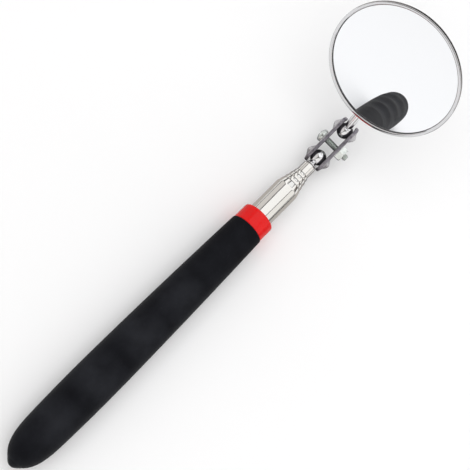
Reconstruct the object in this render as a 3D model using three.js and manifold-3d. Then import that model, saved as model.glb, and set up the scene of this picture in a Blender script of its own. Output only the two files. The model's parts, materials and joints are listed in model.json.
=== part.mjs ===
// A telescoping inspection mirror: a round mirror on a stem, a two-ball friction clamp, and five
// nested steel tubes in a padded grip. Millimetres, +X along the tubes from grip to clamp, +Z up.
import * as THREE from 'three';
import { mergeVertices } from 'three/addons/utils/BufferGeometryUtils.js';
import Module from 'manifold-3d';

const wasm = await Module();
wasm.setup();

// Along the handle, x = 0 at the collar's front face.
const gripTip = -123.3;
const gripFront = -6.8;
const gripBoreEnd = -114.4;
// Distance from the grip's tip, and radius there. The last radius is the one at gripFront.
const gripProfile = [
  [0, 0],
  [0.25, 1.15],
  [1.7, 2.95],
  [4.8, 5.45],
  [9.7, 7.06],
  [18, 7.77],
  [39.6, 8.15],
  [67.3, 7.86],
  [96, 7.25],
];
const gripFrontRadius = 6.65;
const collarDiameter = 12.9;
const collarCorner = 0.9;
const grooveCentres = [-104, -83, -62.5, -43];
const grooveHalfLength = 9.4;
const grooveDepth = 0.75;

// The telescoping tubes, outermost first.
const tubeDiameter = [9.6, 7.8, 6.95, 6.1, 5.25];
const tubeWall = [0.4, 0.2, 0.2, 0.2, 0.3];
const tubeFoot = [-114, -108, -106, -104, -102];
const tubeMouth = [17.2, 19.1, 21.2, 23.0, 27.9];
const neckLength = [2.6, 1.9, 2.1, 1.8];
const neckWall = 0.15;
const neckLandShare = 0.4;
const tubeEndCorner = 0.9;
const bushLength = 9;
const footSetback = 0.3;
const endPlugGap = 0.6;
const endPlugCorner = 0.5;
const fit = 0.05;
const seat = 0.02;
const gap = 0.1;

// The two balls, the clamp that grips them, and how the head is turned at rest.
const lowerBallX = 32.4;
const ballRadius = 3;
const studFlange = 2.1;
const keeperX = 18.5;
const keeperLength = 1.2;
const studBaseLength = 0.3;
const insertLength = 7;
const insertSetback = 0.65;
const ballSpacing = 13.9;
const waistRadius = 1.3;
const socketRadius = 3.08;
const domeRadius = 4.75;
const plateInner = 2.4;
const plateThickness = 1.4;
const plateHalfWidth = 3.8;
const screwRadius = 1.25;
const screwHole = 1.35;
const headRadius = 2.5;
const headHeight = 2.1;
const headCrown = 1.2;
const headFlat = 0.6;
const recessWidth = 2.9;
const recessDepth = 0.9;
const recessSlot = 0.55;
const nutAcrossFlats = 5;
const nutHeight = 2.3;
const nutChamfer = 0.3;
const nutChamferWidth = 0.45;
const screwTip = 7.8;
const screwTipCorner = 0.3;
const lowerSwing = 16.3;
const upperSwing = 46.8;
const sideTilt = 4.3;
const stemTurn = -1.9;

// The mirror head: x from the upper ball along the stem, z from the stem's axis to the glass.
const stemRadius = 1.5;
const stemEnd = 44.6;
const spigotRadius = 1;
const spigotStart = -1.6;
const drillEnd = -1.8;
const stemCorner = 0.6;
const mirrorX = 37;
const caseRadius = 25.2;
const caseBack = 1.8;
const caseFront = 4.2;
const caseWall = 0.35;
const caseFlare = 1.15;
const caseCorner = 0.4;
const beadWidth = 1.4;
const beadCorner = 0.55;
const glassRadius = 24;
const glassBack = 2.5;
const glassFront = 3.5;
const glassSeam = 0.2;
const padInset = 0.6;
const padOpening = 9;
const bracketLength = 12;
const bracketReach = 8.5;
const bracketThickness = 0.7;
const rivetY = 5.6;
const rivetRadius = 0.9;
const rivetHeadRadius = 1.7;
const rivetHeadHeight = 0.9;
const rivetTailRadius = 1.4;
const rivetTailHeight = 0.25;
const rivetTailTaper = 0.2;
const rivetDrillLength = 4;

// Sides of the round pieces.
const gripSides = 42;
const tubeSides = 24;
const smallSides = 20;
const rivetSides = 16;
const gripRings = 27;
const ballRings = 12;
const rimSides = 48;

const finishes = {
  rubber: { color: 0x17181b, roughness: 0.85, metalness: 0 },
  redPlastic: { color: 0xe0231c, roughness: 0.25, metalness: 0 },
  steel: { color: 0xc9c6c2, roughness: 0.25, metalness: 1 },
  brass: { color: 0xb8955a, roughness: 0.4, metalness: 1 },
  darkPlastic: { color: 0x2a2a2c, roughness: 0.6, metalness: 0 },
  chrome: { color: 0xd8d8da, roughness: 0.1, metalness: 1 },
  plated: { color: 0xa9aba9, roughness: 0.35, metalness: 1 },
  zinc: { color: 0xb4bab4, roughness: 0.35, metalness: 1 },
  mirror: { color: 0xf2f4f6, roughness: 0.02, metalness: 1 },
  foam: { color: 0x35363a, roughness: 0.95, metalness: 0 },
};

// Welds a geometry, drops collapsed triangles and turns its faces outward.
function closed(geometry) {
  const bare = geometry.clone();
  bare.deleteAttribute('normal');
  bare.deleteAttribute('uv');
  const welded = mergeVertices(bare, 1e-4);
  const position = welded.getAttribute('position');
  const corners = [0, 1, 2].map(() => new THREE.Vector3());
  const triangles = [];
  let volume = 0;
  for (let i = 0; i < welded.index.count; i += 3) {
    const face = [0, 1, 2].map((k) => welded.index.getX(i + k));
    if (new Set(face).size < 3) continue;
    face.forEach((vertex, k) => corners[k].fromBufferAttribute(position, vertex));
    volume += corners[0].dot(corners[1].clone().cross(corners[2]));
    triangles.push(face);
  }
  if (volume < 0) triangles.forEach((face) => face.reverse());
  const result = new THREE.BufferGeometry();
  result.setAttribute('position', position);
  result.setIndex(triangles.flat());
  return result;
}

function toSolid(geometry) {
  const source = closed(geometry);
  const vertProperties = new Float32Array(source.getAttribute('position').array);
  const triVerts = new Uint32Array(source.index.array);
  return new wasm.Manifold(new wasm.Mesh({ numProp: 3, vertProperties, triVerts }));
}

function toGeometry(solid) {
  const mesh = solid.getMesh();
  const geometry = new THREE.BufferGeometry();
  geometry.setAttribute('position', new THREE.BufferAttribute(mesh.vertProperties, 3));
  geometry.setIndex(Array.from(mesh.triVerts));
  return closed(geometry);
}

const rad = THREE.MathUtils.degToRad;

// A body of revolution about +X from [x, radius] pairs.
function turned(outline, segments) {
  const points = outline.map(([x, radius]) => new THREE.Vector2(radius, x));
  return new THREE.LatheGeometry(points, segments).rotateZ(-Math.PI / 2);
}

// A closed ring: the outline comes back to its first point.
function turnedRing(outline, segments) {
  return turned([...outline, outline[0]], segments);
}

// The points of an arc in [x, radius] form, both ends included.
function arc(centreX, centreRadius, radius, fromDegrees, toDegrees, steps) {
  return Array.from({ length: steps + 1 }, (_, i) => {
    const angle = rad(fromDegrees + ((toDegrees - fromDegrees) * i) / steps);
    return [centreX + radius * Math.cos(angle), centreRadius + radius * Math.sin(angle)];
  });
}

function cylinder(radius, height, segments) {
  return new THREE.CylinderGeometry(radius, radius, height, segments);
}

function piece(name, geometry, finish) {
  const material = new THREE.MeshStandardMaterial(finishes[finish]);
  const mesh = new THREE.Mesh(closed(geometry), material);
  mesh.name = name;
  return mesh;
}

// The grip: a bullet-nosed sleeve, with four finger grooves pressed into its upper side.
function gripGeometry() {
  const knots = gripProfile.map(([x, r]) => new THREE.Vector2(gripTip + x, r));
  const curve = new THREE.SplineCurve([...knots, new THREE.Vector2(gripFront, gripFrontRadius)]);
  const skin = curve.getPoints(gripRings).map((p) => [p.x, Math.max(p.y, 0)]);
  const boreRadius = tubeDiameter[0] / 2 + fit;
  const outline = [...skin, [gripFront, boreRadius], [gripBoreEnd, boreRadius], [gripBoreEnd, 0]];
  const geometry = turned(outline, gripSides);
  const position = geometry.getAttribute('position');
  for (let i = 0; i < position.count; i += 1) {
    const [x, y, z] = [position.getX(i), position.getY(i), position.getZ(i)];
    const radius = Math.hypot(y, z);
    if (radius < boreRadius + gap || z <= 0) continue;
    const depth = grooveCentres.reduce((sum, centre) => {
      const along = Math.min(Math.abs(x - centre) / grooveHalfLength, 1);
      return sum + grooveDepth * Math.cos((along * Math.PI) / 2) ** 2;
    }, 0);
    const shrink = 1 - (depth * (z / radius) ** 2) / radius;
    position.setY(i, y * shrink);
    position.setZ(i, z * shrink);
  }
  return geometry;
}

function collarGeometry() {
  const outer = collarDiameter / 2;
  const bore = tubeDiameter[0] / 2 + fit;
  const front = arc(-collarCorner, outer - collarCorner, collarCorner, 90, 0, 3);
  const back = gripFront + fit;
  return turnedRing([[back, bore], [back, outer], ...front, [0, bore]], gripSides);
}

// Tubes 1 to 4: a straight tube whose mouth is necked in to guide the next one.
function neckedTube(i) {
  const outer = tubeDiameter[i] / 2;
  const bore = outer - tubeWall[i];
  const neck = tubeDiameter[i + 1] / 2 + fit;
  const start = tubeMouth[i] - neckLength[i];
  const land = tubeMouth[i] - neckLength[i] * neckLandShare;
  return turnedRing(
    [
      [tubeFoot[i], bore],
      [tubeFoot[i], outer],
      [start, outer],
      [tubeMouth[i], neck + neckWall],
      [tubeMouth[i], neck],
      [land, neck],
      [start, bore],
    ],
    tubeSides,
  );
}

// Tube 5: its end is rolled in over the insert that carries the ball stud.
function endTube() {
  const outer = tubeDiameter[4] / 2;
  const bore = outer - tubeWall[4];
  const mouth = tubeMouth[4];
  const shoulder = arc(mouth - tubeEndCorner, outer - tubeEndCorner, tubeEndCorner, 90, 0, 3);
  const rolledIn = stemRadius + gap;
  return turnedRing(
    [
      [tubeFoot[4], bore],
      [tubeFoot[4], outer],
      ...shoulder,
      [mouth, rolledIn],
      [mouth - tubeWall[4], rolledIn],
      [mouth - 2 * tubeWall[4], bore],
    ],
    tubeSides,
  );
}

function bushGeometry(i) {
  const inner = tubeDiameter[i] / 2 + seat;
  const outer = tubeDiameter[i - 1] / 2 - tubeWall[i - 1] - fit;
  const foot = tubeFoot[i] + footSetback;
  const top = foot + bushLength;
  return turnedRing([[foot, inner], [foot, outer], [top, outer], [top, inner]], tubeSides);
}

function endPlugGeometry() {
  const radius = tubeDiameter[0] / 2 - tubeWall[0] - seat;
  const foot = tubeFoot[0] + footSetback;
  const nose = tubeFoot[1] - endPlugGap;
  const outline = [
    [foot, 0],
    [foot, radius],
    [nose - endPlugCorner, radius],
    [nose, radius - endPlugCorner],
    [nose, 0],
  ];
  return turned(outline, tubeSides);
}

function insertGeometry() {
  const outer = tubeDiameter[4] / 2 - tubeWall[4] - seat;
  const bore = stemRadius + fit;
  const end = tubeMouth[4] - insertSetback;
  const foot = end - insertLength;
  return turnedRing([[foot, bore], [foot, outer], [end, outer], [end, bore]], tubeSides);
}

// The ball stud that turns in the end of tube 5, with its ball at x = lowerBallX.
function studGeometry() {
  const base = tubeMouth[4] + gap;
  const keeper = keeperX + keeperLength;
  const ballStart = THREE.MathUtils.radToDeg(Math.asin(waistRadius / ballRadius));
  const outline = [
    [keeperX, 0],
    [keeperX, studFlange],
    [keeper, studFlange],
    [keeper, stemRadius],
    [base, stemRadius],
    [base, studFlange],
    [base + studBaseLength, studFlange],
    ...arc(lowerBallX, 0, ballRadius, 180 - ballStart, 0, 10),
  ];
  outline[outline.length - 1][1] = 0;
  return turned(outline, smallSides);
}

// One clamp plate, lying on the +Y side of the balls, x from the lower ball to the upper one.
function plateSolid() {
  const shape = new THREE.Shape();
  shape.absarc(0, 0, plateHalfWidth, Math.PI / 2, (3 * Math.PI) / 2, false);
  shape.absarc(ballSpacing, 0, plateHalfWidth, -Math.PI / 2, Math.PI / 2, false);
  const hole = new THREE.Path();
  hole.absarc(ballSpacing / 2, 0, screwHole, 0, Math.PI * 2, true);
  shape.holes.push(hole);
  const settings = { depth: plateThickness, bevelEnabled: false, curveSegments: 10 };
  const flat = new THREE.ExtrudeGeometry(shape, settings);
  flat.rotateX(Math.PI / 2).translate(0, plateInner + plateThickness, 0);
  let plate = toSolid(flat);
  for (const x of [0, ballSpacing]) {
    const reach = 2 * domeRadius;
    const half = new THREE.BoxGeometry(reach, reach, reach).translate(x, plateInner + domeRadius, 0);
    const dome = new THREE.SphereGeometry(domeRadius, smallSides, ballRings).translate(x, 0, 0);
    plate = plate.add(toSolid(dome).intersect(toSolid(half)));
  }
  for (const x of [0, ballSpacing]) {
    const socket = new THREE.SphereGeometry(socketRadius, smallSides, ballRings).translate(x, 0, 0);
    plate = plate.subtract(toSolid(socket));
  }
  return toGeometry(plate);
}

// The clamp screw along Y: a domed cross-recessed head on +Y, the thread's end past the nut on -Y.
function screwGeometry() {
  const under = plateInner + plateThickness + gap;
  const top = under + headHeight;
  const crown = arc(top - headCrown, headRadius - headCrown, headCrown, 90, 20, 3);
  const outline = [
    [-screwTip, 0],
    [-screwTip, screwRadius - screwTipCorner],
    [-screwTip + screwTipCorner, screwRadius],
    [under, screwRadius],
    [under, headRadius],
    ...crown,
    [top, headFlat],
    [top, 0],
  ];
  const body = toSolid(turned(outline, smallSides).rotateZ(Math.PI / 2));
  const slot = new THREE.BoxGeometry(recessWidth, 2 * recessDepth, recessSlot).translate(0, top, 0);
  const cross = slot.clone().rotateY(Math.PI / 2);
  return toGeometry(body.subtract(toSolid(slot)).subtract(toSolid(cross)));
}

function nutGeometry() {
  const corner = nutAcrossFlats / 2 / Math.cos(Math.PI / 6);
  const top = -plateInner - plateThickness - gap;
  const middle = top - nutHeight / 2;
  const foot = top - nutHeight;
  const hexagon = cylinder(corner, nutHeight, 6).translate(0, middle, 0);
  const blank = [
    [foot, 0],
    [foot, corner - nutChamferWidth],
    [foot + nutChamfer, corner],
    [top, corner],
    [top, 0],
  ];
  const chamfered = toSolid(turned(blank, smallSides).rotateZ(Math.PI / 2));
  const bore = cylinder(screwRadius + fit, nutHeight * 2, smallSides).translate(0, middle, 0);
  return toGeometry(toSolid(hexagon).intersect(chamfered).subtract(toSolid(bore)));
}

// The upper ball, drilled from the stem's side.
function upperBallGeometry() {
  const ball = toSolid(new THREE.SphereGeometry(ballRadius, smallSides, ballRings));
  const drill = spigotRadius + fit;
  const mouth = 2 * ballRadius;
  const hole = turned([[drillEnd, 0], [drillEnd, drill], [mouth, drill], [mouth, 0]], smallSides);
  return toGeometry(ball.subtract(toSolid(hole)));
}

function stemGeometry() {
  const shoulder = ballRadius - gap;
  const outline = [
    [spigotStart, 0],
    [spigotStart, spigotRadius],
    [shoulder, spigotRadius],
    [shoulder, stemRadius],
    ...arc(stemEnd - stemCorner, stemRadius - stemCorner, stemCorner, 90, 0, 3),
    [stemEnd, 0],
  ];
  return turned(outline, smallSides);
}

// The saddle that straps the stem to the back of the case, with a rivet hole in each foot.
function bracketGeometry() {
  const inside = stemRadius + gap;
  const outside = inside + bracketThickness;
  const top = caseBack - gap;
  const foot = top - bracketThickness;
  const shape = new THREE.Shape();
  shape.moveTo(-bracketReach, top);
  shape.lineTo(-inside, top);
  shape.lineTo(-inside, 0);
  shape.absarc(0, 0, inside, Math.PI, 2 * Math.PI, false);
  shape.lineTo(inside, top);
  shape.lineTo(bracketReach, top);
  shape.lineTo(bracketReach, foot);
  shape.lineTo(outside, foot);
  shape.lineTo(outside, 0);
  shape.absarc(0, 0, outside, 0, -Math.PI, true);
  shape.lineTo(-outside, foot);
  shape.lineTo(-bracketReach, foot);
  shape.closePath();
  const settings = { depth: bracketLength, bevelEnabled: false, curveSegments: 8 };
  const strap = new THREE.ExtrudeGeometry(shape, settings);
  // The outline's (x, y) becomes (y, z), extruded along +X.
  strap.rotateX(Math.PI / 2).rotateZ(Math.PI / 2).translate(mirrorX - bracketLength / 2, 0, 0);
  return toGeometry(rivetHoles(toSolid(strap)));
}

function rivetHoles(solid) {
  let drilled = solid;
  for (const side of [-1, 1]) {
    const drill = cylinder(rivetRadius + fit, rivetDrillLength, rivetSides).rotateX(Math.PI / 2);
    drilled = drilled.subtract(toSolid(drill.translate(mirrorX, side * rivetY, caseBack)));
  }
  return drilled;
}

// Bodies of revolution about the mirror's axis: [z, radius] pairs.
function mirrorTurned(outline, segments) {
  return turned(outline, segments).rotateY(-Math.PI / 2).translate(mirrorX, 0, 0);
}

function mirrorRing(outline, segments) {
  return mirrorTurned([...outline, outline[0]], segments);
}

// The pressed case: a shallow flared dish whose edge is rolled into a bead that holds the glass.
function caseGeometry() {
  const backRadius = caseRadius - caseFlare;
  const beadInner = caseRadius - beadWidth;
  const beadMiddle = caseFront - beadCorner;
  const outerBead = arc(beadMiddle, caseRadius - beadCorner, beadCorner, 120, 0, 4);
  const innerBead = arc(beadMiddle, beadInner + beadCorner, beadCorner, 0, -90, 3);
  const glassRoom = glassRadius + fit;
  const outline = [
    [caseBack, 0],
    [caseBack, backRadius - caseCorner],
    [caseBack + caseCorner, backRadius],
    ...outerBead,
    ...innerBead,
    [glassFront + fit, beadInner],
    [glassFront + fit, glassRoom],
    [glassBack + glassSeam, glassRoom],
    [caseBack + caseWall, glassRoom - 2 * glassSeam],
    [caseBack + caseWall, 0],
  ];
  return toGeometry(rivetHoles(toSolid(mirrorTurned(outline, rimSides))));
}

function glassGeometry() {
  const outline = [
    [glassBack, 0],
    [glassBack, glassRadius - glassSeam],
    [glassBack + glassSeam, glassRadius],
    [glassFront - glassSeam, glassRadius],
    [glassFront, glassRadius - glassSeam],
    [glassFront, 0],
  ];
  return mirrorTurned(outline, rimSides);
}

function padGeometry() {
  const back = caseBack + caseWall + fit;
  const front = glassBack - fit;
  const outer = glassRadius - padInset;
  const outline = [[back, padOpening], [back, outer], [front, outer], [front, padOpening]];
  return mirrorRing(outline, rimSides);
}

function rivetGeometry(side) {
  const under = caseBack - gap - bracketThickness - fit;
  const tail = caseBack + caseWall + fit;
  const crown = [90, 60, 30, 0].map((angle) => [
    under - rivetHeadHeight * Math.sin(rad(angle)),
    rivetHeadRadius * Math.cos(rad(angle)),
  ]);
  crown[0][1] = 0;
  const outline = [
    ...crown,
    [under, rivetRadius],
    [tail, rivetRadius],
    [tail, rivetTailRadius],
    [tail + rivetTailHeight, rivetTailRadius - rivetTailTaper],
    [tail + rivetTailHeight, 0],
  ];
  const rivet = turned(outline, rivetSides);
  return rivet.rotateY(-Math.PI / 2).translate(mirrorX, side * rivetY, 0);
}

// The head from the upper ball outward, turned about the ball.
function mirrorHead() {
  const head = new THREE.Group();
  head.position.set(ballSpacing, 0, 0);
  head.rotation.set(rad(stemTurn), rad(-upperSwing), rad(sideTilt), 'YZX');
  head.add(
    piece('upper_ball', upperBallGeometry(), 'chrome'),
    piece('mirror_stem', stemGeometry(), 'chrome'),
    piece('stem_bracket', bracketGeometry(), 'plated'),
    piece('bracket_rivet_left', rivetGeometry(1), 'zinc'),
    piece('bracket_rivet_right', rivetGeometry(-1), 'zinc'),
    piece('mirror_case', caseGeometry(), 'chrome'),
    piece('backing_pad', padGeometry(), 'foam'),
    piece('mirror_glass', glassGeometry(), 'mirror'),
  );
  return head;
}

// The clamp, with x from the lower ball's centre to the upper ball's.
function clamp() {
  const group = new THREE.Group();
  group.position.set(lowerBallX, 0, 0);
  group.rotation.y = rad(-lowerSwing);
  const left = piece('clamp_plate_left', plateSolid(), 'plated');
  const right = piece('clamp_plate_right', plateSolid(), 'plated');
  right.rotation.x = Math.PI;
  const screw = piece('clamp_screw', screwGeometry(), 'zinc');
  const nut = piece('clamp_nut', nutGeometry(), 'zinc');
  screw.position.x = ballSpacing / 2;
  nut.position.x = ballSpacing / 2;
  group.add(left, right, screw, nut, mirrorHead());
  return group;
}

const tool = new THREE.Group();
tool.add(
  piece('grip', gripGeometry(), 'rubber'),
  piece('collar', collarGeometry(), 'redPlastic'),
  piece('tube_1', neckedTube(0), 'steel'),
  piece('tube_1_end_plug', endPlugGeometry(), 'darkPlastic'),
);
for (const i of [1, 2, 3, 4]) {
  tool.add(piece(`tube_${i + 1}`, i < 4 ? neckedTube(i) : endTube(), 'steel'));
  tool.add(piece(`friction_bush_${i + 1}`, bushGeometry(i), 'brass'));
}
tool.add(
  piece('stud_insert', insertGeometry(), 'brass'),
  piece('lower_ball_stud', studGeometry(), 'chrome'),
  clamp(),
);

// The origin is the bottom centre of the whole object's box.
tool.updateMatrixWorld(true);
const box = new THREE.Box3().setFromObject(tool, true);
tool.position.set(-(box.min.x + box.max.x) / 2, -(box.min.y + box.max.y) / 2, -box.min.z);

const inspectionMirror = new THREE.Group();
inspectionMirror.add(tool);
export default inspectionMirror;
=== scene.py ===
"""A telescoping inspection mirror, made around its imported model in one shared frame."""

import json
import math

import bmesh
import bpy
from mathutils import Matrix, Vector


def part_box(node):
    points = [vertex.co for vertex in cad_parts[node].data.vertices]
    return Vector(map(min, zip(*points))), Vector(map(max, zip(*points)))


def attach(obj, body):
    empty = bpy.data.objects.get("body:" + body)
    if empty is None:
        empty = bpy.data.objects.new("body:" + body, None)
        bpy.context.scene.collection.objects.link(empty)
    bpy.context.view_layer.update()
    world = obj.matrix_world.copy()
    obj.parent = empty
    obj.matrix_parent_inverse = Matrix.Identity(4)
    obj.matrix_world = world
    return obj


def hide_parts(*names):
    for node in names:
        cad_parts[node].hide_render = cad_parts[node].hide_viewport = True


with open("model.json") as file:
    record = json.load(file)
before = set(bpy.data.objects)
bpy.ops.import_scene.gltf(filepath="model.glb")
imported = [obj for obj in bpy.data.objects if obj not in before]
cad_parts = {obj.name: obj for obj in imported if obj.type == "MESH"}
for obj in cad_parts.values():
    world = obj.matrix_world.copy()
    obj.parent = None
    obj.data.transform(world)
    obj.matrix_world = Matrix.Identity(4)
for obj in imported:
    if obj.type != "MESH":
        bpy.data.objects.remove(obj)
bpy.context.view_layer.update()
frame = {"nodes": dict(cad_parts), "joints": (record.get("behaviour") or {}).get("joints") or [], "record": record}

MM = 0.001
joints = {joint["name"]: joint for joint in frame["joints"]}
mounts = {mount["name"]: mount for mount in frame["record"]["mounts"]}


# ---------------------------------------------------------------- local frames
def local_frame(origin, x_axis, y_axis):
    """A rigid frame at origin, with x_axis kept exactly and y_axis made square to it."""
    x = Vector(x_axis).normalized()
    z = x.cross(Vector(y_axis)).normalized()
    y = z.cross(x)
    place = Matrix((x, y, z)).transposed().to_4x4()
    place.translation = origin
    return place


def extent(node, place):
    """Lowest and highest corner of a CAD node in a local frame, in millimetres."""
    inverse = place.inverted()
    corners = [inverse @ vertex.co / MM for vertex in frame["nodes"][node].data.vertices]
    low = Vector([min(corner[i] for corner in corners) for i in range(3)])
    high = Vector([max(corner[i] for corner in corners) for i in range(3)])
    return low, high


lower_ball = Vector(joints["lower_swing"]["pos_m"])
upper_ball = Vector(joints["upper_swing"]["pos_m"])
stem_axis = Vector(joints["stem_turn"]["axis"])
mirror_axis = Vector(mounts["mirror_face_rim"]["axis"])
collar_front = Vector((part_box("collar")[1].x, lower_ball.y, lower_ball.z))

# x runs towards the head in all three; z is up, across the clamp, and out of the glass.
TOOL = local_frame(collar_front, (1, 0, 0), (0, 1, 0))
CLAMP = local_frame(lower_ball, upper_ball - lower_ball, (0, 1, 0))
HEAD = local_frame(upper_ball, stem_axis, mirror_axis.cross(stem_axis))


# ---------------------------------------------------------------- mesh helpers
def rounded(corners, closed=False, steps=5):
    """An outline from (x, y) points and (x, y, radius) corners, with each radius as an arc."""
    points = []
    count = len(corners)
    for i, (x, y, *radius) in enumerate(corners):
        here = Vector((x, y))
        if not radius or (not closed and i in (0, count - 1)):
            points.append(here)
            continue
        before = (Vector(corners[i - 1][:2]) - here).normalized()
        after = (Vector(corners[(i + 1) % count][:2]) - here).normalized()
        half = before.angle(after) / 2
        centre = here + (before + after).normalized() * radius[0] / math.sin(half)
        start = here + before * radius[0] / math.tan(half) - centre
        end = here + after * radius[0] / math.tan(half) - centre
        turn = math.atan2(start.x * end.y - start.y * end.x, start.dot(end))
        for k in range(steps + 1):
            points.append(centre + Matrix.Rotation(turn * k / steps, 2) @ start)
    return points


def arc(centre_x, radius, start, end, steps):
    """Points (x, r) of an arc about a centre on the axis, angles in degrees from +x."""
    angles = [math.radians(start + (end - start) * k / steps) for k in range(steps + 1)]
    return [(centre_x + radius * math.cos(a), radius * math.sin(a)) for a in angles]


def circle(x, radius, sides, radius_at):
    """A ring of points about the x axis; radius_at(x, radius, angle) can shape it."""
    if radius < 1e-6:
        return [(x, 0, 0)]
    ring = []
    for k in range(sides):
        angle = math.tau * k / sides
        r = radius_at(x, radius, angle) if radius_at else radius
        ring.append((x, r * math.sin(angle), r * math.cos(angle)))
    return ring


def loft(rings, loop=False):
    """Joins rings of points into a skin. A ring of one point is a pole; loop joins last to first."""
    vertices = [point for ring in rings for point in ring]
    starts = [sum(len(ring) for ring in rings[:i]) for i in range(len(rings))]
    spans = list(zip(starts, rings))
    pairs = list(zip(spans, spans[1:])) + ([(spans[-1], spans[0])] if loop else [])
    faces = []
    for (a, ring_a), (b, ring_b) in pairs:
        for i in range(max(len(ring_a), len(ring_b))):
            j = (i + 1) % max(len(ring_a), len(ring_b))
            if len(ring_a) == 1:
                faces.append((a, b + j, b + i))
            elif len(ring_b) == 1:
                faces.append((a + i, a + j, b))
            else:
                faces.append((a + i, a + j, b + j, b + i))
    if not loop:
        for start, ring in (spans[0], spans[-1]):
            if len(ring) > 1:
                faces.append(tuple(range(start, start + len(ring))))
    return vertices, faces


def turned(outline, sides, loop=False, radius_at=None):
    """A body of revolution about x from (x, r) points; loop makes it a closed ring."""
    return loft([circle(x, r, sides, radius_at) for x, r in outline], loop)


def along(shape, axis, offset):
    """Turns a shape made about x so that it runs along +y or +z, then moves it."""
    vertices, faces = shape
    swap = {"y": lambda x, y, z: (z, x, y), "z": lambda x, y, z: (y, z, x)}
    moved = [Vector(swap[axis](*vertex)) + Vector(offset) for vertex in vertices]
    return moved, faces


def extruded(outline, start, end):
    """A bar along x whose section is a closed (y, z) outline."""
    return loft([[(x, y, z) for y, z in outline] for x in (start, end)])


def apply_modifiers(piece):
    """Turns what the modifiers show into the piece's own mesh."""
    depsgraph = bpy.context.evaluated_depsgraph_get()
    mesh = bpy.data.meshes.new_from_object(piece.evaluated_get(depsgraph))
    piece.modifiers.clear()
    piece.data = mesh


def solid(name, shape, place, bevel=0.0, cutters=()):
    """A mesh object in a local frame, from a shape in millimetres, bevelled and cut if asked."""
    vertices, faces = shape
    mesh = bpy.data.meshes.new(name)
    mesh.from_pydata([Vector(vertex) * MM for vertex in vertices], [], faces)
    working = bmesh.new()
    working.from_mesh(mesh)
    bmesh.ops.recalc_face_normals(working, faces=working.faces)
    working.to_mesh(mesh)
    working.free()
    mesh.transform(place)
    made = bpy.data.objects.new(name, mesh)
    bpy.context.scene.collection.objects.link(made)
    for cutter in cutters:
        knife = solid(name + "_cutter", cutter, place)
        cut = made.modifiers.new("cut", "BOOLEAN")
        cut.object = knife
        cut.solver = "EXACT"
        bpy.context.view_layer.update()
        apply_modifiers(made)
        bpy.data.objects.remove(knife)
    if bevel:
        edge = made.modifiers.new("bevel", "BEVEL")
        edge.width = bevel * MM
        edge.segments = 3
        edge.limit_method = "ANGLE"
        edge.angle_limit = math.radians(50)
        apply_modifiers(made)
    return made


def smooth(made, sharp):
    """Smooth shading that stays sharp at edges of more than sharp degrees."""
    for polygon in made.data.polygons:
        polygon.use_smooth = True
    made.data.set_sharp_from_angle(angle=math.radians(sharp))
    weighted = made.modifiers.new("weighted", "WEIGHTED_NORMAL")
    weighted.keep_sharp = True
    apply_modifiers(made)


def finished(node, shape, place, material, bevel=0.0, cutters=(), sharp=40):
    """The fine piece that stands for a CAD node, with its material, on the body that the record gives it."""
    made = solid(node + "_fine", shape, place, bevel, cutters)
    smooth(made, sharp)
    made.data.materials.clear()
    made.data.materials.append(material)
    record = frame["record"]
    body = next(name for name, nodes in record["behaviour"]["bodies"].items() if node in nodes)
    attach(made, body)
    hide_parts(node)
    return made


# The grip's finger scoops, in millimetres: their middles from the collar's front, half length, depth.
GROOVE_CENTRES = (-104, -83, -62.5, -43)
GROOVE_HALF = 9.9
GROOVE_DEPTH = 0.8


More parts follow.
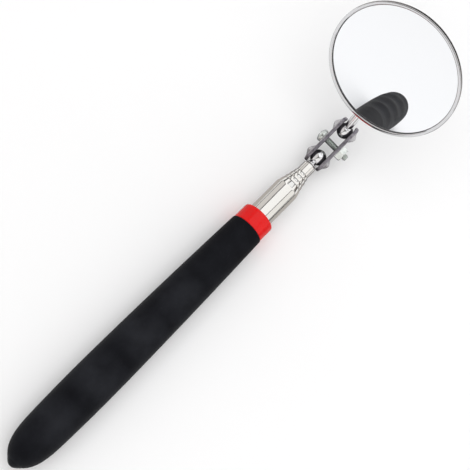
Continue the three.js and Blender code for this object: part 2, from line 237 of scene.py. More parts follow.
# ---------------------------------------------------------------- material helpers
class Nodes:
    """A material's node tree, with short calls for the nodes that the finishes share."""

    def __init__(self, name, color, roughness, metallic=0.0):
        self.material = bpy.data.materials.new(name)
        self.material.use_nodes = True
        self.tree = self.material.node_tree
        self.shader = self.tree.nodes["Principled BSDF"]
        self.shader.inputs["Metallic"].default_value = metallic
        self.shader.inputs["Base Color"].default_value = (*color, 1)
        self.shader.inputs["Roughness"].default_value = roughness

    def add(self, kind, **settings):
        node = self.tree.nodes.new(kind)
        for key, value in settings.items():
            setattr(node, key, value)
        return node

    def link(self, output, socket):
        self.tree.links.new(output, socket)

    def coordinates(self, stretch):
        """Object coordinates in millimetres, squeezed along the axes by stretch."""
        source = self.add("ShaderNodeTexCoord").outputs["Object"]
        mapping = self.add("ShaderNodeMapping")
        mapping.inputs["Scale"].default_value = [1000 / s for s in stretch]
        self.link(source, mapping.inputs["Vector"])
        return mapping.outputs["Vector"]

    def noise(self, size, stretch=(1, 1, 1), detail=3.0, rough=0.5):
        """Noise whose grain is about size millimetres, longer along the axes by stretch."""
        node = self.add("ShaderNodeTexNoise")
        node.inputs["Scale"].default_value = 1 / size
        node.inputs["Detail"].default_value = detail
        node.inputs["Roughness"].default_value = rough
        self.link(self.coordinates(stretch), node.inputs["Vector"])
        return node.outputs["Fac"]

    def ramp(self, value, low, high, out_low, out_high):
        node = self.add("ShaderNodeMapRange")
        limits = {"From Min": low, "From Max": high, "To Min": out_low, "To Max": out_high}
        for socket, number in limits.items():
            node.inputs[socket].default_value = number
        self.link(value, node.inputs["Value"])
        return node.outputs["Result"]

    def math(self, operation, first, second):
        node = self.add("ShaderNodeMath", operation=operation)
        for socket, value in zip(node.inputs, (first, second)):
            if isinstance(value, (int, float)):
                socket.default_value = value
            else:
                self.link(value, socket)
        return node.outputs["Value"]

    def blend(self, factor, first, second):
        """A colour between two, each a colour or a node's output."""
        node = self.add("ShaderNodeMix", data_type="RGBA")
        self.link(factor, node.inputs["Factor"])
        colors = [socket for socket in node.inputs if socket.type == "RGBA"]
        for socket, value in zip(colors, (first, second)):
            if isinstance(value, tuple):
                socket.default_value = (*value, 1)
            else:
                self.link(value, socket)
        return next(socket for socket in node.outputs if socket.type == "RGBA")

    def edges(self):
        """1 on outer edges, where wear shows, 0 elsewhere."""
        point = self.add("ShaderNodeNewGeometry").outputs["Pointiness"]
        return self.ramp(point, 0.52, 0.6, 0, 1)

    def bump(self, height, depth, strength):
        """Bump of about depth millimetres."""
        node = self.add("ShaderNodeBump")
        node.inputs["Strength"].default_value = strength
        node.inputs["Distance"].default_value = depth * MM
        self.link(height, node.inputs["Height"])
        self.link(node.outputs["Normal"], self.shader.inputs["Normal"])

    def set(self, **sockets):
        """Links or sets sockets of the shader, named with _ for each space."""
        for name, value in sockets.items():
            socket = self.shader.inputs[name.replace("_", " ")]
            if hasattr(value, "links"):
                self.link(value, socket)
            else:
                socket.default_value = value


def rubber():
    """Soft black rubber: a painted highlight makes the finger scoops lighter on its upper side, and it is glossy
    at its very tip.
    """
    n = Nodes("soft_black_rubber", (0.005, 0.005, 0.007), 0.6)
    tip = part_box("grip")[0].x
    position = n.add("ShaderNodeSeparateXYZ")
    n.link(n.add("ShaderNodeTexCoord").outputs["Object"], position.inputs["Vector"])
    x, z = position.outputs["X"], position.outputs["Z"]
    grain = n.noise(0.16, detail=2.0, rough=0.6)
    patch = n.noise(7.0, detail=3.0)
    specks = n.ramp(n.noise(0.35, detail=1.0), 0.70, 0.78, 0, 1)
    scoop = 0
    for centre in GROOVE_CENTRES:
        off = n.math("ABSOLUTE", n.math("SUBTRACT", x, collar_front.x + centre * MM), 0)
        scoop = n.math("ADD", n.ramp(off, 0, GROOVE_HALF * MM, 1, 0), scoop)
    upper = n.ramp(z, collar_front.z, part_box("grip")[1].z, 0, 1)
    # Painted highlight: the finger scoops on the upper side get a lighter colour, standing in for the light they
    # catch.
    scoop_highlight = n.math("MULTIPLY", n.math("MULTIPLY", scoop, upper), n.ramp(patch, 0.3, 0.7, 0.4, 1))
    clean, greasy = (0.0048, 0.0051, 0.0070), (0.0088, 0.0094, 0.0122)
    handled = n.blend(n.ramp(patch, 0.35, 0.7, 0, 1), clean, greasy)
    # The scoops' painted highlight is mixed over the handled tone here.
    wear_and_highlight = n.blend(scoop_highlight, handled, (0.0215, 0.0228, 0.0275))
    dusty = n.blend(n.math("MULTIPLY", specks, 0.25), wear_and_highlight, (0.045, 0.047, 0.053))
    moulded = n.ramp(x, tip + 0.8 * MM, tip + 2.6 * MM, 0, 1)
    uneven = n.ramp(patch, 0.3, 0.7, 0.50, 0.60)
    matt = n.math("ADD", uneven, n.ramp(grain, 0.3, 0.7, -0.04, 0.04))
    n.set(Base_Color=dusty, Roughness=n.math("MAXIMUM", n.math("MULTIPLY", matt, moulded), 0.12))
    n.set(Specular_IOR_Level=0.06)
    n.bump(n.math("MULTIPLY", grain, moulded), 0.05, 0.75)
    return n.material


def red_plastic():
    n = Nodes("glossy_red_plastic", (0.78, 0.018, 0.012), 0.2)
    patch = n.noise(3.0)
    tone = n.blend(patch, (0.66, 0.0030, 0.0032), (0.76, 0.0050, 0.0048))
    wear_and_highlight = n.blend(n.math("MULTIPLY", n.edges(), 0.5), tone, (0.90, 0.10, 0.07))
    n.set(Base_Color=wear_and_highlight, Roughness=n.ramp(n.noise(0.5), 0.3, 0.7, 0.16, 0.27))
    n.set(Specular_IOR_Level=0.30)
    n.bump(n.noise(0.9, detail=2.0), 0.012, 0.5)
    return n.material


def steel_tube():
    n = Nodes("polished_steel_tube", (0.80, 0.78, 0.75), 0.16, 1.0)
    streaks = n.noise(0.12, stretch=(60, 1, 1), detail=3.0)
    patch = n.noise(5.0, stretch=(3, 1, 1))
    scratches = n.ramp(n.noise(0.25, stretch=(12, 1, 1), detail=1.0), 0.66, 0.72, 0, 1)
    tone = n.blend(patch, (0.76, 0.74, 0.705), (0.84, 0.825, 0.80))
    rough = n.math("ADD", n.ramp(streaks, 0.3, 0.7, 0.05, 0.09), n.math("MULTIPLY", scratches, 0.08))
    n.set(Base_Color=tone, Roughness=rough)
    n.bump(streaks, 0.004, 0.35)
    return n.material


def chrome(name, color, low, high):
    n = Nodes(name, color, low, 1.0)
    smear = n.noise(2.2, detail=4.0)
    tone = n.blend(smear, tuple(0.94 * c for c in color), color)
    n.set(Base_Color=tone, Roughness=n.ramp(smear, 0.35, 0.7, low, high))
    n.bump(n.noise(1.1, detail=1.0), 0.003, 0.3)
    return n.material


def plated(name, dark, light, low, high, grain):
    """Pressed or plated metal: cloudy, darker in patches and brighter on its edges."""
    n = Nodes(name, light, low, 1.0)
    cloud = n.noise(1.6, detail=4.0)
    fine = n.noise(grain, detail=2.0)
    tone = n.blend(n.ramp(cloud, 0.35, 0.65, 0, 1), dark, light)
    bright = tuple(min(1.0, 1.25 * c) for c in light)
    wear_and_highlight = n.blend(n.math("MULTIPLY", n.edges(), 0.6), tone, bright)
    n.set(Base_Color=wear_and_highlight, Roughness=n.ramp(fine, 0.3, 0.7, low, high))
    n.bump(fine, 0.006, 0.5)
    return n.material


def mirror_silver():
    silver, dusty = (0.955, 0.970, 0.990), (0.86, 0.875, 0.895)
    n = Nodes("silvered_glass", silver, 0.004, 1.0)
    dust = n.ramp(n.noise(0.3, detail=1.0), 0.74, 0.80, 0, 1)
    haze = n.ramp(n.noise(9.0, detail=4.0), 0.4, 0.75, 0.0, 0.012)
    n.set(Base_Color=n.blend(n.math("MULTIPLY", dust, 0.04), silver, dusty), Roughness=haze)
    return n.material


def plain_moulded(name, dark, light, grain, depth, rough):
    n = Nodes(name, light, rough)
    fine = n.noise(grain, detail=4.0)
    n.set(Base_Color=n.blend(fine, dark, light))
    n.set(Roughness=n.ramp(fine, 0.3, 0.7, rough - 0.08, rough + 0.08))
    n.bump(fine, depth, 0.7)
    return n.material


RUBBER = rubber()
RED = red_plastic()
STEEL = steel_tube()
CHROME = chrome("bright_chrome", (0.86, 0.86, 0.875), 0.015, 0.04)
RIM = chrome("rim_chrome", (0.72, 0.72, 0.735), 0.03, 0.06)
NICKEL = plated("nickel_plated_press", (0.50, 0.485, 0.50), (0.62, 0.61, 0.62), 0.20, 0.34, 0.25)
# A darker metal for the plates' edges: painted dark reflection.
EDGE_REFLECTION = plated("painted_dark_reflection_plate_edge", (0.21, 0.195, 0.225), (0.38, 0.36, 0.395), 0.24, 0.38, 0.2)
# Dark metal for the bead's inner foot above the glass: painted shade.
BEAD_FOOT_SHADE = plated("painted_shade_bead_foot", (0.035, 0.033, 0.036), (0.07, 0.066, 0.07), 0.25, 0.4, 0.3)
# Dark metal for the bead's outer side: painted dark reflection.
BEAD_SIDE_REFLECTION = plated("painted_dark_reflection_bead_side", (0.06, 0.055, 0.055), (0.13, 0.12, 0.12), 0.12, 0.24, 0.3)
# Dark metal that paints the shade of the joint onto the tubes' lips.
LIP_SHADE = plated("painted_shade_tube_lip", (0.10, 0.095, 0.095), (0.19, 0.18, 0.175), 0.26, 0.4, 0.2)
# A near-black metal for the plates' inner faces: painted shade, which the balls reflect as a dark ring.
INNER_FACE_SHADE = plated("painted_shade_inside_of_press", (0.055, 0.050, 0.060), (0.10, 0.095, 0.105), 0.35, 0.5, 0.3)
ZINC = plated("zinc_plate", (0.60, 0.64, 0.61), (0.74, 0.77, 0.75), 0.18, 0.30, 0.18)
BRASS = plated("drawn_brass", (0.55, 0.40, 0.17), (0.74, 0.58, 0.30), 0.28, 0.42, 0.3)
GLASS = mirror_silver()
PLUG = plain_moulded("moulded_plug", (0.035, 0.035, 0.038), (0.06, 0.06, 0.065), 0.5, 0.02, 0.5)
FOAM = plain_moulded("foam", (0.05, 0.05, 0.055), (0.14, 0.14, 0.15), 0.35, 0.12, 0.9)


# ---------------------------------------------------------------- handle and tubes
# Distance from the tip, and radius. The last point is the end that meets the collar.
GRIP_OUTLINE = (
    (0, 0), (0.25, 1.15), (1.7, 2.95), (4.8, 5.45), (9.7, 7.06), (18, 7.77),
    (39.6, 8.15), (67.3, 7.86), (96, 7.25), (116.5, 6.65),
)


def spline(points, steps):
    """A uniform Catmull-Rom curve through the points, with about that many steps in all."""
    knots = [Vector(point) for point in points]
    curve = []
    for k in range(steps + 1):
        t = (len(knots) - 1) * k / steps
        i = min(int(t), len(knots) - 2)
        w = t - i
        p0, p1, p2, p3 = (knots[min(max(i + d, 0), len(knots) - 1)] for d in (-1, 0, 1, 2))
        m1, m2 = (p2 - p0) / 2, (p3 - p1) / 2
        curve.append(
            p1 * (2 * w**3 - 3 * w**2 + 1) + m1 * (w**3 - 2 * w**2 + w)
            + p2 * (3 * w**2 - 2 * w**3) + m2 * (w**3 - w**2)
        )
    return curve


def grip():
    tip = extent("grip", TOOL)[0].x
    front = extent("grip", TOOL)[1].x
    bore = extent("tube_1", TOOL)[1].y + 0.05
    bore_end = extent("tube_1", TOOL)[0].x - 0.4
    skin = [(tip + x, max(r, 0)) for x, r in spline(GRIP_OUTLINE, 270)]
    rim = rounded([skin[-2], (front, skin[-1][1], 0.35), (front, bore)], steps=5)[1:]
    outline = skin[:-1] + [tuple(p) for p in rim] + [(bore_end, bore), (bore_end, 0)]

    def scooped(x, radius, angle):
        up = math.cos(angle)
        if radius < bore + 0.1 or up <= 0:
            return radius
        depth = 0
        for centre in GROOVE_CENTRES:
            share = min(abs(x - centre) / GROOVE_HALF, 1)
            depth += GROOVE_DEPTH * math.cos(share * math.pi / 2) ** 1.5
        return radius - depth * up**2

    finished("grip", turned(outline, 128, radius_at=scooped), TOOL, RUBBER)


def collar():
    low, high = extent("collar", TOOL)
    bore = extent("tube_1", TOOL)[1].y + 0.04
    outer = high.y
    corners = [(low.x, bore), (low.x, outer, 0.2), (high.x, outer, 0.9), (high.x, bore, 0.12)]
    finished("collar", turned(rounded(corners, closed=True), 128, loop=True), TOOL, RED)


def tube_size(i):
    """A tube's foot and mouth along x, and its outer radius."""
    low, high = extent(f"tube_{i}", TOOL)
    return low.x, high.x, high.y


# Millimetres: the drawn-in length of each tube's mouth, the cut lip at its end, and the walls.
NECK = {1: 2.6, 2: 1.9, 3: 2.1, 4: 1.8}
LIP = 0.3
WALL = {1: 0.4, 2: 0.2, 3: 0.2, 4: 0.2, 5: 0.3}


def necked_tube(i):
    """A tube whose mouth is drawn in until it just clears the next tube, with painted shade on its cut lip along
    the joint.
    """
    foot, mouth, outer = tube_size(i)
    throat = tube_size(i + 1)[2] + 0.04
    start = mouth - NECK[i]
    corners = [
        (foot, outer - WALL[i]),
        (foot, outer, 0.06),
        (start, outer, 2.5),
        (mouth - LIP, throat + 0.3),
        (mouth, throat + 0.12, 0.08),
        (mouth, throat, 0.03),
        (mouth - 0.4 * NECK[i], throat),
        (start, outer - WALL[i]),
    ]
    tube = finished(f"tube_{i}", turned(rounded(corners, closed=True), 96, loop=True), TOOL, STEEL)
    # Painted shade: the cut lip gets a dark metal, standing in for the shade in the joint with the next tube.
    tube.data.materials.append(LIP_SHADE)
    inverse = TOOL.inverted()
    for polygon in tube.data.polygons:
        if (inverse @ polygon.center).x / MM > mouth - LIP:
            polygon.material_index = 1


def end_tube():
    foot, mouth, outer = tube_size(5)
    hole = 1.6
    corners = [
        (foot, outer - WALL[5]),
        (foot, outer, 0.06),
        (mouth, outer, 0.85),
        (mouth, hole, 0.1),
        (mouth - 0.3, hole, 0.1),
        (mouth - 0.6, outer - WALL[5]),
    ]
    finished("tube_5", turned(rounded(corners, closed=True), 96, loop=True), TOOL, STEEL)


def inner_ring(node, bore, material):
    """A plain ring inside the tubes, with broken edges."""
    low, high = extent(node, TOOL)
    outer = high.y
    corners = [(low.x, bore, 0.03), (low.x, outer, 0.05), (high.x, outer, 0.05), (high.x, bore, 0.03)]
    finished(node, turned(rounded(corners, closed=True, steps=2), 64, loop=True), TOOL, material)


def end_plug():
    low, high = extent("tube_1_end_plug", TOOL)
    corners = [(low.x, 0), (low.x, high.y, 0.3), (high.x, high.y, 0.5), (high.x, 0)]
    finished("tube_1_end_plug", turned(rounded(corners), 64), TOOL, PLUG)


# ---------------------------------------------------------------- balls and clamp
# Radii of the balls and of the stud's waist, and the distance between the balls.
BALL = extent("lower_ball_stud", CLAMP)[1].y
WAIST = 1.3
SPACING = (upper_ball - lower_ball).length / MM


def ball_stud():
    ball_x = (lower_ball - collar_front).x / MM
    foot = extent("lower_ball_stud", TOOL)[0].x
    mouth = tube_size(5)[1]
    flange, pin = 2.1, 1.5
    turn_in = math.degrees(math.asin(WAIST / BALL))
    sphere = arc(ball_x, BALL, 180 - turn_in, 0, 40)
    corners = [
        (foot, 0),
        (foot, flange, 0.15),
        (foot + 1.2, flange, 0.1),
        (foot + 1.2, pin),
        (mouth + 0.1, pin),
        (mouth + 0.1, flange, 0.1),
        (mouth + 0.4, flange, 0.15),
        (mouth + 1.35, WAIST, 0.7),
        sphere[0],
    ]
    outline = [tuple(p) for p in rounded(corners)] + sphere[1:-1] + [(ball_x + BALL, 0)]
    finished("lower_ball_stud", turned(outline, 96), TOOL, CHROME)


def drilled_ball():
    drill, drill_end = 1.05, -1.8
    mouth = math.degrees(math.asin(drill / BALL))
    outline = [(drill_end, 0), (drill_end, drill)] + arc(0, BALL, mouth, 180, 48)[:-1] + [(-BALL, 0)]
    finished("upper_ball", turned(outline, 96), HEAD, CHROME)


# A clamp plate, in millimetres: its faces from the middle of the clamp, its half width and end
# radius, the rounding of its edges, the domes, the ball sockets, the screw hole and the bent ends.
PLATE_INNER = 2.4
PLATE_OUTER = 3.8
PLATE_END = 3.95
PLATE_EDGE = 0.42
DOME_HEIGHT = 1.32
DOME_BASE = 2.95
SOCKET = 3.08
HOLE = 1.35
TAB = 1.5
TAB_BEND = 0.3
# A polygon is on a face of the plate, and not on its edge, when its normal's y is over this.
FACE_LIMIT = 0.6


def eased(t):
    """A soft step from 0 to 1."""
    t = min(max(t, 0), 1)
    return t * t * (3 - 2 * t)


def clamp_plate(node, side):
    """A pressed plate: a rounded strip with a dome over each ball and its ends bent in a little."""
    middle = SPACING / 2

    def surfaces(x, z):
        inner, outer = PLATE_INNER, PLATE_OUTER
        for centre in (0, SPACING):
            off = math.hypot(x - centre, z)
            outer += DOME_HEIGHT * (1 - eased(off / DOME_BASE))
            if off < SOCKET:
                inner = max(inner, math.sqrt(SOCKET**2 - off**2))
        bend = TAB_BEND * eased((abs(x - middle) - middle - PLATE_END + TAB) / TAB)
        return inner - bend, outer - bend

    def section(x, half, thin):
        """One closed loop across the strip, rounded at both edges."""
        across = [half * math.sin(math.pi / 2 * k / 22) for k in range(-22, 23)]
        top, bottom = [], []
        for z in across:
            inner, outer = surfaces(x, z)
            near = min((half - abs(z)) / PLATE_EDGE, 1)
            cut = PLATE_EDGE * (1 - math.sqrt(max(1 - (1 - near) ** 2, 0))) + thin
            top.append((x, side * (outer - cut), z))
            bottom.append((x, side * (inner + cut), z))
        return top + bottom[::-1]

    stations = []
    ends, straights = 26, 56
    for k in range(ends + 1):
        a = math.pi / 2 * k / ends
        near = PLATE_END * (1 - math.cos(a))
        half = max(PLATE_END * math.sin(a), 0.25)
        thin = PLATE_EDGE * (1 - math.sqrt(max(1 - (1 - min(near / PLATE_EDGE, 1)) ** 2, 0)))
        stations.append((near - PLATE_END, half, thin))
    straight = [(SPACING * k / straights, PLATE_END, 0) for k in range(1, straights)]
    mirrored = [(SPACING - x, half, thin) for x, half, thin in reversed(stations)]
    rings = [section(*station) for station in stations + straight + mirrored]
    hole = along(turned([(-8, 0), (-8, HOLE), (8, HOLE), (8, 0)], 48), "y", (middle, 0, 0))
    plate = finished(node, loft(rings), CLAMP, NICKEL, cutters=[hole], sharp=45)
    # Painted dark reflection: the plates' edges get a darker metal than their faces.
    plate.data.materials.append(EDGE_REFLECTION)
    # Painted shade: the inner faces, between the plates, get a near-black metal.
    plate.data.materials.append(INNER_FACE_SHADE)
    outwards = CLAMP.col[1].to_3d() * side
    for polygon in plate.data.polygons:
        facing = polygon.normal.dot(outwards)
        polygon.material_index = 0 if facing > FACE_LIMIT else 2 if facing < -FACE_LIMIT else 1


def screw():
    """A pan-head screw along y with a cut thread and a cross recess."""
    low, high = extent("clamp_screw", CLAMP)
    middle = SPACING / 2
    head_base = PLATE_OUTER + 0.1
    head = high.x - middle
    shank, pitch, depth = 1.25, 0.45, 0.22
    threaded = [(low.y, shank - 0.45)]
    rows = round((head_base - low.y) / pitch * 8)
    start_gap = 0.02
    for k in range(rows + 1):
        threaded.append((low.y + start_gap + (head_base - low.y - start_gap) * k / rows, shank))
    crown = rounded([
        (head_base, shank), (head_base, head, 0.25), (high.y - 0.75, head, 0.5),
        (high.y, 0.9, 2.2), (high.y, 0),
    ])

    def thread(y, radius, angle):
        if abs(radius - shank) > 1e-6 or y > head_base - 0.3:
            return radius
        turn = (y / pitch - angle / math.tau) % 1
        start = min((y - low.y) / 0.5, 1)
        return radius - depth * abs(2 * turn - 1) ** 1.3 - 0.3 * (1 - start)

    outline = [(low.y, 0)] + threaded + [tuple(p) for p in crown[1:]]
    recess_foot, recess_top = (high.y - 1.0, 0.75, 0.2), (high.y + 0.3, 1.62, 0.34)
    bars = []
    for turn in (0, 1):
        bar = []
        for y, reach, half in (recess_foot, recess_top):
            corners = [(-reach, -half), (reach, -half), (reach, half), (-reach, half)]
            bar.append([(middle + (a if turn else b), y, b if turn else a) for a, b in corners])
        bars.append(loft(bar))
    body = along(turned(outline, 64, radius_at=thread), "y", (middle, 0, 0))
    finished("clamp_screw", body, CLAMP, ZINC, cutters=bars, sharp=50)


def nut():
    """A hexagon nut along y, chamfered on its outer side."""
    low, high = extent("clamp_nut", CLAMP)
    middle = SPACING / 2
    flat = 2.5
    bore = 1.3
    corner = flat / math.cos(math.pi / 6)
    outline = rounded(
        [
            (high.y, bore + 0.12), (high.y, corner), (low.y + 0.42, corner),
            (low.y, flat * 0.97, 0.12), (low.y, bore + 0.18), (low.y + 0.2, bore),
            (high.y - 0.1, bore),
        ],
        closed=True, steps=4,
    )

    def hexagon(_, radius, angle):
        to_flat = (angle + math.pi / 6) % (math.pi / 3) - math.pi / 6
        return min(radius, flat / math.cos(to_flat)) if radius > 2 else radius

    body = along(turned(outline, 96, True, hexagon), "y", (middle, 0, 0))
    finished("clamp_nut", body, CLAMP, ZINC, sharp=25)


# ---------------------------------------------------------------- mirror head
CASE_LOW, CASE_HIGH = extent("mirror_case", HEAD)
MIRROR_X = (CASE_LOW.x + CASE_HIGH.x) / 2
CASE_RADIUS = (CASE_HIGH.y - CASE_LOW.y) / 2
CASE_WALL = 0.35
CASE_FLARE = 1.15
BEAD_WIDTH = 1.4
BEAD_CORNER = 0.55
GLASS_GAP = 0.05
# How far a normal points in or out on the bead's inner side, where its foot is painted with shade, and on its
# outer side, painted with a dark reflection.
BEAD_INWARDS = -0.7
BEAD_OUTWARDS = 0.8
SADDLE_THICK = 0.7
SADDLE_SEAM = 0.1
RIVET_SEAM = 0.05


def on_mirror(outline, sides, loop=False):
    return along(turned(outline, sides, loop), "z", (MIRROR_X, 0, 0))


def case():
    """A shallow dish whose edge is rolled outwards and over, into a bead that holds the glass."""
    back, front = CASE_LOW.z, CASE_HIGH.z
    glass_low, glass_high = extent("mirror_glass", HEAD)
    seat, face = glass_low.z, glass_high.z
    room = glass_high.y + GLASS_GAP
    inner = CASE_RADIUS - BEAD_WIDTH
    middle = front - BEAD_CORNER
    flare = CASE_RADIUS - CASE_FLARE
    outline = rounded(
        [
            (back, 0), (back, flare, 0.5), (middle - BEAD_CORNER, flare, 0.2),
            (middle - BEAD_CORNER, CASE_RADIUS, 0.2), (front, CASE_RADIUS, 0.22),
            (front, inner, BEAD_CORNER), (face + GLASS_GAP, inner, 0.08),
            (face + GLASS_GAP, room), (seat, room, 0.2),
            (back + CASE_WALL, room - CASE_WALL, 0.2), (back + CASE_WALL, 0),
        ],
        steps=10,
    )
    made = finished("mirror_case", on_mirror(outline, 256), HEAD, RIM)
    made.data.materials.append(BEAD_FOOT_SHADE)
    made.data.materials.append(BEAD_SIDE_REFLECTION)
    # Painted shade on the bead's inner foot above the glass, and a painted dark reflection on the bead's outer
    # side.
    inverse = HEAD.inverted()
    for polygon in made.data.polygons:
        centre = inverse @ polygon.center / MM
        outwards = Vector((centre.x - MIRROR_X, centre.y, 0)).normalized()
        facing = (inverse.to_3x3() @ polygon.normal).dot(outwards)
        if centre.z > face and facing < BEAD_INWARDS:
            polygon.material_index = 1
        elif centre.z > middle - BEAD_CORNER and facing > BEAD_OUTWARDS:
            polygon.material_index = 2


def glass():
    low, high = extent("mirror_glass", HEAD)
    outline = rounded([(low.z, 0), (low.z, high.y, 0.2), (high.z, high.y, 0.2), (high.z, 0)])
    finished("mirror_glass", on_mirror(outline, 192), HEAD, GLASS)


def pad():
    low, high = extent("backing_pad", HEAD)
    radius, hole, edge = (high.x - low.x) / 2, 9, 0.12
    corners = ((low.z, hole), (low.z, radius), (high.z, radius), (high.z, hole))
    outline = rounded([(z, r, edge) for z, r in corners], closed=True, steps=3)
    finished("backing_pad", on_mirror(outline, 128, True), HEAD, FOAM)


def stem():
    low, high = extent("mirror_stem", HEAD)
    radius, pin = high.y, 1
    shoulder = BALL - 0.1
    outline = rounded([
        (low.x, 0), (low.x, pin, 0.2), (shoulder, pin, 0.15),
        (shoulder, radius, 0.3), (high.x, radius, 0.6), (high.x, 0),
    ])
    finished("mirror_stem", turned(outline, 64), HEAD, CHROME)


def bracket():
    """The saddle: two feet and a half-round hump that straps the stem to the back of the case."""
    low, high = extent("stem_bracket", HEAD)
    inside = extent("mirror_stem", HEAD)[1].y + 0.1
    edge = inside + SADDLE_THICK
    top = high.z
    under = top - SADDLE_THICK

    def half_round(radius):
        angles = [math.pi * k / 16 for k in range(17)]
        return [Vector((radius * math.cos(a), -radius * math.sin(a))) for a in angles]

    section = (
        rounded([(low.y, top), (-inside, top, 0.25), (-inside, 0)], steps=4)
        + half_round(inside)[::-1]
        + rounded([(inside, 0), (inside, top, 0.25), (high.y, top)], steps=4)
        + rounded([(high.y, under), (edge, under, 0.5), (edge, 0)], steps=5)
        + half_round(edge)
        + rounded([(-edge, 0), (-edge, under, 0.5), (low.y, under)], steps=5)
    )
    points = []
    for point in section:
        if not points or (point - points[-1]).length > 1e-4:
            points.append(point)
    finished("stem_bracket", extruded(points, low.x, high.x), HEAD, NICKEL, bevel=0.12)


def rivet(node):
    low, high = extent(node, HEAD)
    x, y = (low.x + high.x) / 2, (low.y + high.y) / 2
    foot = CASE_LOW.z - SADDLE_SEAM - SADDLE_THICK - RIVET_SEAM
    rise, head_radius, shank, flare = 0.9, 1.7, 0.9, high.z - 0.25
    angles = [math.radians(a) for a in range(90, -1, -10)]
    head = [(foot - rise * math.sin(a), head_radius * math.cos(a)) for a in angles]
    head[0] = (head[0][0], 0)
    outline = head + [(foot, shank), (flare, shank), (flare, 1.4), (high.z, 1.2), (high.z, 0)]
    finished(node, along(turned(outline, 48), "z", (x, y, 0)), HEAD, ZINC)


grip()
collar()
for number in (1, 2, 3, 4):
    necked_tube(number)
end_tube()
for number in (2, 3, 4, 5):
    inner_ring(f"friction_bush_{number}", tube_size(number)[2] + 0.02, BRASS)
inner_ring("stud_insert", 1.55, BRASS)
end_plug()
ball_stud()
clamp_plate("clamp_plate_left", 1)
clamp_plate("clamp_plate_right", -1)
screw()
nut()
drilled_ball()
stem()
case()
glass()
pad()
bracket()
rivet("bracket_rivet_left")
rivet("bracket_rivet_right")


# ---------------------------------------------------------------- camera
# Where it stands and what it looks at, in the tool's frame and millimetres, and the picture's slant.
CAMERA_PLACE = (-139.5, 1.3, 414.6)
CAMERA_AIM = (-11.5, 1.43, 0)
TOOL_SLANT = math.radians(44.94)
LENS = 92.75


def camera():
    place = TOOL @ (Vector(CAMERA_PLACE) * MM)
    back = (place - TOOL @ (Vector(CAMERA_AIM) * MM)).normalized()
    tool_x = TOOL.col[0].to_3d()
    level = (tool_x - back * tool_x.dot(back)).normalized()
    across = back.cross(level)
    right = level * math.cos(TOOL_SLANT) - across * math.sin(TOOL_SLANT)
    data = bpy.data.cameras.new("camera")
    data.lens = LENS
    data.sensor_width = 36
    data.clip_start = 0.01
    made = bpy.data.objects.new("camera", data)
    made.matrix_world = local_frame(place, right, back.cross(right))
    bpy.context.scene.collection.objects.link(made)
    bpy.context.scene.camera = made


camera()


# ---------------------------------------------------------------- studio
AIM = Vector((0, 0, 0.02))
FLOOR_RADIUS = 0.72
# Radius and height of the backdrop's rows, in metres.
BACKDROP = ((FLOOR_RADIUS, 0), (1.8, 0), (2.6, 0.3), (3.0, 1.0), (3.1, 3.0))
BACKDROP_GLOW = 0.985


def floor():
    """A round pale floor; a backdrop that only the camera sees carries it on past the light tent."""
    sides = 96
    turns = [math.tau * k / sides for k in range(sides)]
    rim = [(FLOOR_RADIUS * math.cos(a), FLOOR_RADIUS * math.sin(a), 0) for a in turns]
    mesh = bpy.data.meshes.new("floor")
    mesh.from_pydata(rim, [], [range(sides)])
    made = bpy.data.objects.new("floor", mesh)
    bpy.context.scene.collection.objects.link(made)
    paint = bpy.data.materials.new("pale_floor")
    paint.use_nodes = True
    shader = paint.node_tree.nodes["Principled BSDF"]
    shader.inputs["Base Color"].default_value = (0.93, 0.935, 0.945, 1)
    shader.inputs["Roughness"].default_value = 0.9
    shader.inputs["Specular IOR Level"].default_value = 0.1
    mesh.materials.append(paint)
    rows = [
        [Vector((radius * math.cos(a), radius * math.sin(a), z)) for a in turns + turns[:1]]
        for radius, z in BACKDROP
    ]
    backdrop = glowing("backdrop", *grid(rows), BACKDROP_GLOW, (1, 1, 1), lights=False)
    backdrop.visible_camera = True
    backdrop.visible_glossy = False
    backdrop.visible_transmission = False


def glowing(name, vertices, faces, glow, color, lights=True):
    """A stage surface that shines: a softbox, or with lights off a card that only reflections see."""
    mesh = bpy.data.meshes.new(name)
    mesh.from_pydata(vertices, [], faces)
    made = bpy.data.objects.new(name, mesh)
    bpy.context.scene.collection.objects.link(made)
    paint = bpy.data.materials.new(name)
    paint.use_nodes = True
    tree = paint.node_tree
    tree.nodes.clear()
    emission = tree.nodes.new("ShaderNodeEmission")
    emission.inputs["Color"].default_value = (*color, 1)
    emission.inputs["Strength"].default_value = glow
    output = tree.nodes.new("ShaderNodeOutputMaterial")
    tree.links.new(emission.outputs["Emission"], output.inputs["Surface"])
    mesh.materials.append(paint)
    made.visible_camera = False
    made.visible_shadow = False
    made.visible_diffuse = lights
    return made


def grid(rows):
    """Vertices and faces of a sheet from rows of equally many points."""
    wide = len(rows[0])
    faces = [
        (r * wide + c, r * wide + c + 1, (r + 1) * wide + c + 1, (r + 1) * wide + c)
        for r in range(len(rows) - 1) for c in range(wide - 1)
    ]
    return [point for row in rows for point in row], faces


# The light tent: the direction of its middle, its radius in metres, and in degrees from the middle
# its opening for the camera and its edge.
OVERHEAD = Vector((-0.295, 0, 0.955))
TENT_RADIUS = 1.15
LENS_OPENING = 6.5
TENT_EDGE = 92
# Seams gape wider from GAPE_REACH degrees inwards, but take no more than a share of the panel.
GAPE = 3.5
GAPE_REACH = 30
TRIM_SHARE = 0.45
# Start and end azimuth, glow, colour and seam.
SOFTBOXES = {
    "softbox_front": (-47, 45, 1.15, (1, 1, 1), 0.10),
    "softbox_right": (-75, -47, 1.02, (1, 0.99, 0.97), 0.02),
    "softbox_left": (45, 165, 0.74, (1, 0.97, 0.945), 0.10),
    "softbox_back": (165, 285, 0.95, (1, 0.98, 0.96), 0.10),
}
FLAG_RADIUS = 0.3
FLAG_HEIGHT = 0.125


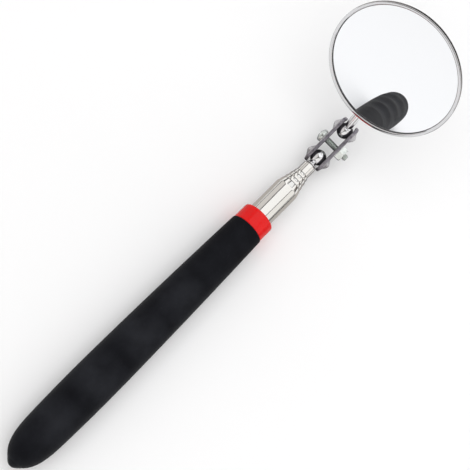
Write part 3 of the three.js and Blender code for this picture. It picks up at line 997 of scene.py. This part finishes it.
def softbox(name, start, end, glow, color, seam):
    """One curved panel of a light tent whose seams meet at the camera.

    Azimuths in degrees run about the overhead direction from +x towards +y. A seam is the width
    in metres of the dark gap that the panel leaves along each of its two sides.
    """
    ahead = Vector((OVERHEAD.z, 0, -OVERHEAD.x))
    across = Vector((0, 1, 0))
    down, wide = 24, 16
    rows = []
    for k in range(down + 1):
        row = []
        for c in range(wide + 1):
            off = math.radians(LENS_OPENING + (TENT_EDGE - LENS_OPENING) * k / down)
            gape = 1 + GAPE * max(1 - math.degrees(off) / GAPE_REACH, 0)
            trim = math.asin(min(gape * seam / 2 / (TENT_RADIUS * math.sin(off)), 1))
            trim = min(trim, TRIM_SHARE * math.radians(end - start))
            low, high = math.radians(start) + trim, math.radians(end) - trim
            turn = low + (high - low) * c / wide
            edge = math.atan2(OVERHEAD.z, -ahead.z * math.cos(turn))
            off = min(off, edge)
            out = ahead * math.cos(turn) + across * math.sin(turn)
            row.append(AIM + (OVERHEAD * math.cos(off) + out * math.sin(off)) * TENT_RADIUS)
        rows.append(row)
    glowing(name, *grid(rows), glow, color)


def flag(name, centre, start, end, glow, color=(1, 1, 1)):
    """A curved dark card that stands on the floor round a point, azimuths in degrees from +x."""
    turns = [math.radians(start + (end - start) * k / 12) for k in range(13)]
    rows = [
        [centre + Vector((FLAG_RADIUS * math.cos(t), FLAG_RADIUS * math.sin(t), z)) for t in turns]
        for z in (0, FLAG_HEIGHT)
    ]
    glowing(name, *grid(rows), glow, color, lights=False)


def floor_card(name, start, end, right, left, lift, glow, color=(1, 1, 1)):
    """A dark card lift millimetres above the floor, from x start to end and y right to left."""
    rows = [[Vector((x, y, lift * MM)) for x in (start, end)] for y in (right, left)]
    glowing(name, *grid(rows), glow, color, lights=False)


def studio():
    world = bpy.data.worlds.new("studio")
    world.use_nodes = True
    background = world.node_tree.nodes["Background"]
    background.inputs["Color"].default_value = (1.0, 0.985, 0.965, 1)
    background.inputs["Strength"].default_value = 0.12
    bpy.context.scene.world = world
    bpy.context.scene.view_settings.view_transform = "Standard"

    for name, panel in SOFTBOXES.items():
        softbox(name, *panel)

    data = bpy.data.lights.new("floor_wash", "AREA")
    data.size = 1.6
    data.energy = 10.5
    wash = bpy.data.objects.new("floor_wash", data)
    wash.location = (-0.2, 0.1, 1.4)
    wash.visible_camera = False
    wash.visible_glossy = False
    bpy.context.scene.collection.objects.link(wash)

    mirror_foot = Vector((upper_ball.x, upper_ball.y, 0))
    flag("black_flag", mirror_foot, -26, 17, 0.01)
    flag("brown_flag", mirror_foot, -50, -26, 0.20, (1, 0.85, 0.78))
    start, end, y = collar_front.x, lower_ball.x - 6 * MM, lower_ball.y
    warm, cold = (1, 0.95, 0.91), (0.96, 0.96, 1)
    floor_card("tube_card", start - 0.015, end + 0.01, y - 0.10, y + 0.10, 0.1, 0.52, warm)
    floor_card("tube_shade", start, end, y - 0.006, y + 0.006, 0.2, 0.08)
    floor_card("clamp_sides", end, end + 0.03, y - 0.016, y + 0.016, 0.2, 0.30, cold)
    floor_card("clamp_shade", end, end + 0.045, y - 0.0035, y + 0.0035, 0.3, 0.02)
    floor_card("side_card", start - 0.10, start + 0.06, y - 0.20, y - 0.055, 0.3, 0.02)


floor()
studio()
